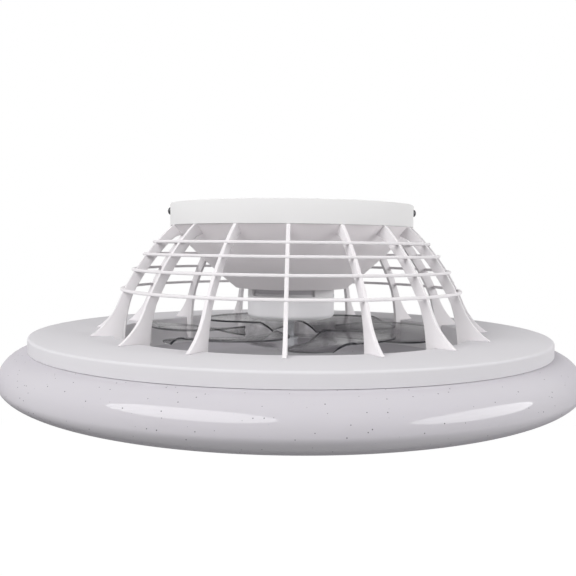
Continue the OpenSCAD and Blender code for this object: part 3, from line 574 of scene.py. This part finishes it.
def makeHoops(shape):
    centre, radius = finEdge(finShape)[2:]
    rings = []
    level = canopyLow.z - shape["first"]
    for i in range(shape["count"]):
        outer = edgeAt(centre, radius, level) + shape["proud"]
        inner = outer - shape["width"]
        high, low = level + shape["height"] / 2, level - shape["height"] / 2
        corners = [at(inner, low), at(outer, low), at(outer, high), at(inner, high)]
        radii = [shape["innerFillet"], shape["outerFillet"], shape["outerFillet"], shape["innerFillet"]]
        section = rounded(corners, radii, 3)
        rings.append(spinRing(f"hoop_{i + 1}", section, shape["steps"]))
        level -= shape["gap"] * shape["growth"] ** i
    whole = joinAll(rings, "cage_hoop_set")
    smooth(whole, 50)
    fit(whole, "housing", cagePlastic, "cage_hoops")


makeFins(finShape)
makeHoops(hoopShape)
print("cage made")


# motor

coverLow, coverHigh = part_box("motor_cover")
motorRadius = coverHigh.x
collarLow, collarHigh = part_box("motor_collar")
collarShape = {"posts": 2, "firstPost": math.radians(-14.2), "postAngle": math.radians(88), "wall": 3 * mm,
               "bar": 2 * mm, "softEdge": 0.3 * mm, "steps": 144, "postSteps": 32}
coverShape = {"edge": 5 * mm, "topFillet": 0.5 * mm, "holeFillet": 0.4 * mm, "wall": 2 * mm,
              "hole": 9 * mm, "spigotHeight": 4.5 * mm, "spigotWall": 1.6 * mm, "spigotGap": 0.1 * mm,
              "steps": 144}


def makeCollar(shape):
    low, high, soft = collarLow.z, collarHigh.z, shape["softEdge"]
    outer, inner = motorRadius, motorRadius - shape["wall"]
    ringCorners = [at(inner, low), at(outer, low), at(outer, low + shape["bar"]),
                   at(inner, low + shape["bar"])]
    parts = [spinRing("collar_ring", rounded(ringCorners, [soft] * 4, 3), shape["steps"])]
    postCorners = [at(inner, low + soft), at(outer, low + soft), at(outer, high), at(inner, high)]
    for i in range(shape["posts"]):
        post = spinArc(f"collar_post_{i}", postCorners, shape["postSteps"], shape["postAngle"])
        roundEdges(post, soft, 2)
        turnRound(post, shape["firstPost"] - shape["postAngle"] / 2 + i * fullTurn / shape["posts"])
        parts.append(post)
    whole = joinAll(parts, "motor_collar_ring")
    smooth(whole, 40)
    fit(whole, "housing", greyPlastic, "motor_collar")


def makeCover(shape):
    low, top = coverLow.z, collarLow.z
    r, t = motorRadius, shape["wall"]
    spigotOut = r - collarShape["wall"] - shape["spigotGap"]
    spigotIn = spigotOut - shape["spigotWall"]
    spigotTop = top + shape["spigotHeight"]
    corners = [at(shape["hole"], low), at(r, low), at(r, top), at(spigotOut, top), at(spigotOut, spigotTop),
               at(spigotIn, spigotTop), at(spigotIn, top - t), at(r - t, top - t), at(r - t, low + t),
               at(shape["hole"], low + t)]
    radii = [shape["holeFillet"], shape["edge"], shape["topFillet"], 0, 0, 0, 0, 0, shape["edge"] - t,
             shape["holeFillet"]]
    piece = spinRing("motor_cover_can", rounded(corners, radii, 8), shape["steps"])
    smooth(piece, 40)
    fit(piece, "housing", coverPlastic, "motor_cover")


makeCollar(collarShape)
makeCover(coverShape)
print("motor made")


# impeller

coverGap = 1.8 * mm
hubTop = coverLow.z - coverGap
bladeShape = {"count": 6, "turn": math.radians(4), "tipRadius": 158 * mm, "hubRadius": 51 * mm,
              "rootOverlap": 1 * mm, "rootWidth": 0.34, "tipPower": 2.6, "tipCrowding": 1.6,
              "span": math.radians(58), "sweep": math.radians(16), "rise": 11 * mm,
              "riseFade": 0.35, "camber": 3 * mm, "rootCamber": 0.4, "drop": 7.5 * mm,
              "thickness": 2.2 * mm, "softEdge": 0.45 * mm, "alongCuts": 28, "acrossCuts": 18}
hubShape = {"height": 26 * mm, "plate": 3 * mm, "skirt": 2 * mm, "boss": 9 * mm, "bossHeight": 20 * mm,
            "sleeve": 7 * mm, "sleeveTop": 9.3 * mm, "bore": 4.05 * mm, "boreFillet": 0.3 * mm,
            "bossFillet": 0.5 * mm, "plateFillet": 1 * mm, "skirtFillet": 0.4 * mm,
            "topFillet": 1.5 * mm, "steps": 144}


def petalWidth(u, shape):
    # the blade's width at a share of its length: it swells to the middle and closes in a round tip
    if u < 0.5:
        return shape["rootWidth"] + (1 - shape["rootWidth"]) * math.sin(math.pi * u)
    return math.sqrt(max(0.02, 1 - (2 * u - 1) ** shape["tipPower"]))


def makeBlade(shape):
    deselectAll()
    bpy.ops.mesh.primitive_grid_add(x_subdivisions=shape["alongCuts"], y_subdivisions=shape["acrossCuts"],
                                    size=1, location=(0.5, 0.5, 0))
    piece = bpy.context.object
    bpy.ops.object.transform_apply(location=True, rotation=False, scale=False)
    root = shape["hubRadius"] - shape["rootOverlap"]
    for point in piece.data.vertices:
        u = 1 - (1 - point.co.x) ** shape["tipCrowding"]
        v = point.co.y
        r = root + u * (shape["tipRadius"] - root)
        turn = (0.5 - v) * shape["span"] * petalWidth(u, shape) - shape["sweep"] * u * u
        camber = shape["camber"] * (shape["rootCamber"] + (1 - shape["rootCamber"]) * u)
        z = hubTop - shape["drop"] - shape["rise"] * v * (1 - shape["riseFade"] * u)
        z += camber * 4 * v * (1 - v) - shape["thickness"] / 2
        point.co = (r * math.cos(turn), r * math.sin(turn), z)
    thick = piece.modifiers.new("thick", "SOLIDIFY")
    thick.thickness = shape["thickness"]
    thick.offset = 0
    # the rims take finish 1, the near-black edge with its painted shade
    thick.material_offset_rim = 1
    for finish in (smoke, edgeTintAndShadeFinish, paintedGlintFinish):
        piece.data.materials.append(finish)
    pick(piece)
    bpy.ops.object.modifier_apply(modifier="thick")
    # the rounded edges take finish 2, the painted highlight
    roundEdges(piece, shape["softEdge"], 2, 50, finishIndex=2)
    bpy.ops.object.mode_set(mode="EDIT")
    cleanShell()
    smooth(piece, 60)
    return piece


def makeHub(shape):
    outer, top = bladeShape["hubRadius"], hubTop
    bottom = top - shape["height"]
    bossLow = top - shape["bossHeight"]
    sleeveTop = top + shape["sleeveTop"]
    under = top - shape["plate"]
    inner = outer - shape["skirt"]
    corners = [at(shape["bore"], bossLow), at(shape["boss"], bossLow), at(shape["boss"], under),
               at(inner, under), at(inner, bottom), at(outer, bottom), at(outer, top),
               at(shape["sleeve"], top), at(shape["sleeve"], sleeveTop), at(shape["bore"], sleeveTop)]
    radii = [shape["boreFillet"], shape["bossFillet"], shape["plateFillet"], shape["plateFillet"],
             shape["skirtFillet"], shape["bossFillet"], shape["topFillet"], shape["plateFillet"],
             shape["boreFillet"], shape["boreFillet"]]
    piece = spinRing("impeller_hub", rounded(corners, radii, 4), shape["steps"])
    smooth(piece, 50)
    piece.data.materials.append(hubSmoke)
    return piece


def makeImpeller():
    first = makeBlade(bladeShape)
    blades = [first] + [copyOf(first, f"blade_{i}") for i in range(1, bladeShape["count"])]
    for i, blade in enumerate(blades):
        turnRound(blade, bladeShape["turn"] + i * fullTurn / bladeShape["count"])
    whole = joinAll([*blades, makeHub(hubShape)], "impeller_clear")
    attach(whole, "rotor")
    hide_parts("impeller")


capShape = {"rise": 9 * mm, "wall": 1.8 * mm, "lip": 4 * mm, "lipWall": 1.7 * mm, "lipGap": 0.1 * mm,
            "inset": 1 * mm, "steps": 144}


def makeCap(shape):
    outer = bladeShape["hubRadius"] - shape["inset"]
    level = hubTop - hubShape["height"]
    lipOut = bladeShape["hubRadius"] - hubShape["skirt"] - shape["lipGap"]
    lipIn = lipOut - shape["lipWall"]
    domeRadius = (outer ** 2 + shape["rise"] ** 2) / (2 * shape["rise"])
    centre = level - shape["rise"] + domeRadius
    edges = [outer * i / 24 for i in range(25)]
    under = [at(r, centre - math.sqrt(domeRadius ** 2 - r * r)) for r in edges]
    over = [at(r, p.z + shape["wall"]) for r, p in zip(edges, under) if r < lipIn]
    section = [*under, at(lipOut, level), at(lipOut, level + shape["lip"]), at(lipIn, level + shape["lip"]),
               *reversed(over)]
    piece = spinRing("hub_cap_dome", section, shape["steps"])
    smooth(piece, 50)
    fit(piece, "rotor", hubSmoke, "hub_cap")


makeImpeller()
makeCap(capShape)
print("impeller made")


# lamp

trayShape = {"radius": trayHigh.x, "rim": 13.7 * mm, "wall": 2 * mm, "edge": 2.6 * mm,
             "duct": ductRadius, "ductFloor": trayLow.z, "ductFillet": 1.2 * mm, "wallFillet": 0.5 * mm,
             "innerFillet": 0.6 * mm, "rimFillet": 0.25 * mm, "steps": 360}
shadeShape = {"radius": 300 * mm, "floor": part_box("shade")[0].z, "wideLevel": trayTop - 42.7 * mm,
              "neck": 265.5 * mm, "lip": 193.4 * mm, "lipTop": trayShape["ductFloor"] + 9 * mm,
              "shoulderPower": 2.1, "outerPower": 1.85, "innerPower": 1.98, "wall": 2.5 * mm,
              "flange": 7 * mm, "flangeThick": 2 * mm, "flangeTop": trayTop - 6 * mm, "steps": 360}


def makeTray(shape):
    r, t, top = shape["radius"], shape["wall"], trayTop
    rimLow = top - shape["rim"]
    inner = shape["duct"] + t
    corners = [at(shape["duct"], top), at(shape["duct"], shape["ductFloor"]), at(inner, shape["ductFloor"]),
               at(inner, top - t), at(r - t, top - t), at(r - t, rimLow), at(r, rimLow), at(r, top)]
    wallFillet, innerFillet = shape["wallFillet"], shape["innerFillet"]
    radii = [shape["ductFillet"], wallFillet, wallFillet, innerFillet, innerFillet, wallFillet,
             shape["rimFillet"], shape["edge"]]
    piece = spinRing("lamp_tray_plate", rounded(corners, radii, 6), shape["steps"])
    smooth(piece, 50)
    fit(piece, "housing", trayShadedPaint, "lamp_tray")


def skin(shape, inset):
    # the diffuser's section: a shoulder from the neck, then two quarters to the inner lip, each of which
    # starts a few degrees after the one before it ends, so that no point is doubled
    wide = at(shape["neck"], shape["wideLevel"])
    middle = at((shape["radius"] + shape["lip"]) / 2, shape["wideLevel"])
    deep = shape["wideLevel"] - shape["floor"] - inset
    high = trayTop - trayShape["rim"] - shape["wideLevel"] - inset
    return [*quarter(wide, shape["radius"] - shape["neck"] - inset, high, 90, 0, 24, shape["shoulderPower"]),
            *quarter(middle, shape["radius"] - middle.x - inset, deep, -4, -90, 24, shape["outerPower"]),
            *quarter(middle, middle.x - shape["lip"] - inset, deep, -94, -180, 24, shape["innerPower"])]


def makeShade(shape):
    t, neck, lip, flangeTop = shape["wall"], shape["neck"], shape["lip"], shape["flangeTop"]
    outer, inner = skin(shape, 0), skin(shape, t)
    flangeIn = neck - shape["flange"]
    flangeLow = flangeTop - shape["flangeThick"]
    section = [at(flangeIn, flangeTop), at(neck, flangeTop), *outer, at(lip, shape["lipTop"]),
               at(lip + t, shape["lipTop"]), *reversed(inner), at(neck - t, outer[0].z - t),
               at(neck - t, flangeLow), at(flangeIn, flangeLow)]
    piece = spinRing("diffuser_ring", section, shape["steps"])
    smooth(piece, 50)
    fit(piece, "housing", opal, "shade")


makeTray(trayShape)
makeShade(shadeShape)
print("lamp made")


# finishes of the pieces that keep their solids

nodeFinish = {"mounting_bracket": zincSteel, "ground_screw": yellowBrass,
              "terminal_block": ivoryPlastic, "driver_box": ivoryPlastic, "driver_lid": ivoryPlastic,
              "driver_screws": zincSteel, "wire_grommet": blackRubber, "cone_screws": zincSteel,
              "motor_base": motorGrey, "motor_screws": zincSteel, "bearing_outer_races": zincSteel,
              "bearing_inner_races": zincSteel, "bearing_balls": zincSteel, "stator_core": coreSteel,
              "stator_coils": copperWire, "rotor_bell": zincSteel, "magnet_ring": ferrite,
              "motor_shaft": zincSteel, "retaining_ring": darkScrew, "cover_screws": zincSteel,
              "impeller_nut": zincSteel, "cage_screws": zincSteel, "led_board": boardLacquer,
              "led_chips": lightChip, "board_screws": zincSteel, "shade_clips": zincSteel,
              "clip_screws": zincSteel}
for nodeName, finish in nodeFinish.items():
    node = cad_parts[nodeName]
    node.data.materials.clear()
    node.data.materials.append(finish)
print("solids finished")


# camera, light and floor

cameraLook = {"at": (0, -816.6 * mm, -44.34 * mm), "lens": 46.94, "yaw": 0.0041, "pitch": 0.0549,
              "roll": 0.0102}
floorLook = {"level": -2400 * mm, "size": 18, "colour": (0.8, 0.8, 0.8), "glow": 0.92, "shadow": 0.26}
worldLook = {"above": 0.16, "level": 0.35, "below": 0.0, "back": 1.15}
lampAim = Vector((0, -200 * mm, -160 * mm))
lampLooks = {
    "left_softbox": {"turn": -42.5, "lift": 40, "distance": 2.0, "size": (2.3, 1.2), "radiance": 5.85},
    "right_softbox": {"turn": 72, "lift": 18.5, "distance": 2.0, "size": (2.0, 0.85), "radiance": 5.4},
}


def placeCamera(look):
    # its three angles are in radians
    camera = bpy.data.objects.new("camera", bpy.data.cameras.new("camera"))
    bpy.context.scene.collection.objects.link(camera)
    camera.data.lens = look["lens"]
    camera.data.clip_start = 0.01
    turn = Matrix.Rotation(look["yaw"], 3, "Z") @ Matrix.Rotation(math.pi / 2 - look["pitch"], 3, "X")
    turn = turn @ Matrix.Rotation(look["roll"], 3, "Z")
    camera.matrix_world = Matrix.Translation(look["at"]) @ turn.to_4x4()
    bpy.context.scene.camera = camera


def reckon(finish, operation, first, second):
    # a maths node on two outputs
    node = addNode(finish, "ShaderNodeMath", operation=operation)
    wire(finish, first, node.inputs[0])
    wire(finish, second, node.inputs[1])
    return node.outputs[0]


def shownRays(finish):
    # 1 for rays from the camera and for those that a shiny or clear surface sends on, 0 after a dull one
    rays = addNode(finish, "ShaderNodeLightPath").outputs
    shown = reckon(finish, "MAXIMUM", rays["Is Camera Ray"], rays["Is Glossy Ray"])
    shown = reckon(finish, "MAXIMUM", shown, rays["Is Transmission Ray"])
    beforeDull = remap(finish, rays["Diffuse Depth"], 0, 1, 1, 0)
    return reckon(finish, "MULTIPLY", shown, beforeDull)


def mixShown(finish, outputName, hidden, shown):
    # one shader for the light on the fan, another for what is shown
    mix = addNode(finish, "ShaderNodeMixShader")
    wire(finish, shownRays(finish), mix.inputs["Fac"])
    wire(finish, hidden, mix.inputs[1])
    wire(finish, shown, mix.inputs[2])
    wire(finish, mix.outputs[0], finish.node_tree.nodes[outputName].inputs["Surface"])


def lightWorld(look):
    # soft light that is strongest level with the fan, with none from straight below and more low behind it,
    # and a plain white room for the camera, gloss and glass
    world = bpy.data.worlds.new("studio")
    bpy.context.scene.world = world
    world.use_nodes = True
    ambient = world.node_tree.nodes["Background"]
    way = addNode(world, "ShaderNodeTexCoord").outputs["Generated"]
    parts = addNode(world, "ShaderNodeSeparateXYZ")
    wire(world, way, parts.inputs[0])
    ramp = addNode(world, "ShaderNodeValToRGB")
    ramp.color_ramp.elements.new(0.5)
    for stop, name in zip(ramp.color_ramp.elements, ("below", "level", "above")):
        stop.color = (look[name], look[name], look[name], 1)
    wire(world, remap(world, parts.outputs["Z"], -1, 1, 0, 1), ramp.inputs["Fac"])
    rear = remap(world, parts.outputs["Y"], 0, 1, 0, look["back"])
    low = remap(world, parts.outputs["Z"], 0, 1, 1, 0)
    behind = reckon(world, "MULTIPLY", rear, low)
    total = reckon(world, "ADD", ramp.outputs["Color"], behind)
    wire(world, total, ambient.inputs["Color"])
    room = addNode(world, "ShaderNodeBackground", Color=(1, 1, 1, 1))
    mixShown(world, "World Output", ambient.outputs[0], room.outputs[0])


def layFloor(look):
    # a pale floor: white to the camera, darker where the fan's shadow falls
    deselectAll()
    bpy.ops.mesh.primitive_plane_add(size=look["size"], location=(0, 0, look["level"]))
    floor = bpy.context.object
    floor.name = "studio_floor"
    finish = newFinish("floor_paint", look["colour"], 0.8)
    glow = addNode(finish, "ShaderNodeEmission", Strength=look["glow"])
    lit = addNode(finish, "ShaderNodeBsdfDiffuse", Color=(look["shadow"],) * 3 + (1,))
    both = addNode(finish, "ShaderNodeAddShader")
    wire(finish, glow.outputs[0], both.inputs[0])
    wire(finish, lit.outputs[0], both.inputs[1])
    mixShown(finish, "Material Output", shaderOf(finish).outputs[0], both.outputs[0])
    floor.data.materials.append(finish)


def hangLamp(name, look):
    # an oval lamp, turned from the camera's side to the right and lifted, in degrees
    data = bpy.data.lights.new(name, "AREA")
    data.shape = "ELLIPSE"
    data.size, data.size_y = look["size"]
    area = data.size * data.size_y * math.pi / 4
    data.energy = look["radiance"] * math.pi * area
    lamp = bpy.data.objects.new(name, data)
    bpy.context.scene.collection.objects.link(lamp)
    turn, lift = math.radians(look["turn"]), math.radians(look["lift"])
    way = Vector((math.sin(turn) * math.cos(lift), -math.cos(turn) * math.cos(lift), math.sin(lift)))
    place = lampAim + look["distance"] * way
    lamp.matrix_world = Matrix.Translation(place) @ way.to_track_quat("Z", "Y").to_matrix().to_4x4()


placeCamera(cameraLook)
lightWorld(worldLook)
layFloor(floorLook)
for lampName, lampLook in lampLooks.items():
    hangLamp(lampName, lampLook)
bpy.context.scene.view_settings.view_transform = "Standard"
print("studio ready")
